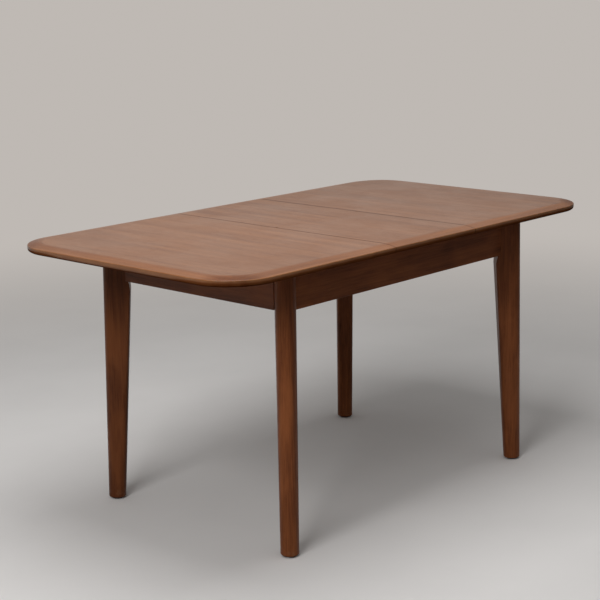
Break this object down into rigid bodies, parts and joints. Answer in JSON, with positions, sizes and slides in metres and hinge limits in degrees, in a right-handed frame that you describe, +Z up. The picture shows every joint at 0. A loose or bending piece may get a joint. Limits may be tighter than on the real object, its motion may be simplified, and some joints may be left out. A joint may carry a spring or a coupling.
{
  "type": "butterfly leaf dining table",
  "caption": "Extending wooden dining table with rounded corners, drawn out with its folding leaf in, on tapering legs set at the corners of a fixed apron frame.",
  "frame": {"origin": "on the floor under the middle of the top", "axes": "+X along the table, +Y to the rear long side, +Z up"},
  "size_m": [1.5, 0.82, 0.7512],
  "materials": {
    "top_veneer": "satin lacquer over stained veneer",
    "edging_wood": "satin lacquer over stained solid wood",
    "frame_wood": "satin lacquer over red-brown stained wood",
    "runner_wood": "waxed bare hardwood",
    "zinc_steel": "zinc plated",
    "brown_brass": "brown patina",
    "nylon": "dark moulded nylon"
  },
  "bodies": {
    "frame": {"leg_front_left": "frame_wood", "leg_front_right": "frame_wood", "leg_rear_right": "frame_wood", "leg_rear_left": "frame_wood", "apron_front": "frame_wood", "apron_right": "frame_wood", "apron_rear": "frame_wood", "apron_left": "frame_wood", "corner_block_front_left": "runner_wood", "corner_block_front_right": "runner_wood", "corner_block_rear_right": "runner_wood", "corner_block_rear_left": "runner_wood", "leg_bolts": "zinc_steel", "leg_bolt_washers": "zinc_steel", "leg_bolt_nuts": "zinc_steel", "foot_glides": "nylon", "slide_rail_front": "runner_wood", "slide_rail_rear": "runner_wood", "cross_rail_left": "runner_wood", "cross_rail_right": "runner_wood", "cross_rail_brackets": "zinc_steel", "pivot_bushes": "nylon"},
    "left_top": {"top_field_left": "top_veneer", "top_edging_left": "edging_wood", "runner_left_front": "runner_wood", "runner_left_rear": "runner_wood", "stop_pegs_left": "runner_wood"},
    "right_top": {"top_field_right": "top_veneer", "top_edging_right": "edging_wood", "runner_right_front": "runner_wood", "runner_right_rear": "runner_wood", "stop_pegs_right": "runner_wood"},
    "leaf_rear": {"leaf_field_rear": "top_veneer", "leaf_edging_rear": "edging_wood", "pivot_brackets": "zinc_steel", "pivot_pins": "zinc_steel", "fold_hinge_rear_plates": "brown_brass", "fold_hinge_pins": "brown_brass"},
    "leaf_front": {"leaf_field_front": "top_veneer", "leaf_edging_front": "edging_wood", "fold_hinge_front_plates": "brown_brass"}
  },
  "joints": [
    {"name": "left_top_slide", "type": "slide", "parent": "frame", "child": "left_top", "axis": [-1, 0, 0], "range_m": [0, 0.03]},
    {"name": "right_top_slide", "type": "slide", "parent": "frame", "child": "right_top", "axis": [1, 0, 0], "range_m": [0, 0.03]},
    {"name": "leaf_swing", "type": "hinge", "parent": "frame", "child": "leaf_rear", "pos_m": [0, 0.102, 0.712], "axis": [1, 0, 0], "range_deg": [0, 90]},
    {"name": "leaf_fold", "type": "hinge", "parent": "leaf_rear", "child": "leaf_front", "pos_m": [0, 0, 0.75015], "axis": [-1, 0, 0], "range_deg": [0, 180]}
  ],
  "couplings": [
    {"joint": "leaf_fold", "follows": "leaf_swing", "ratio": 2}
  ]
}
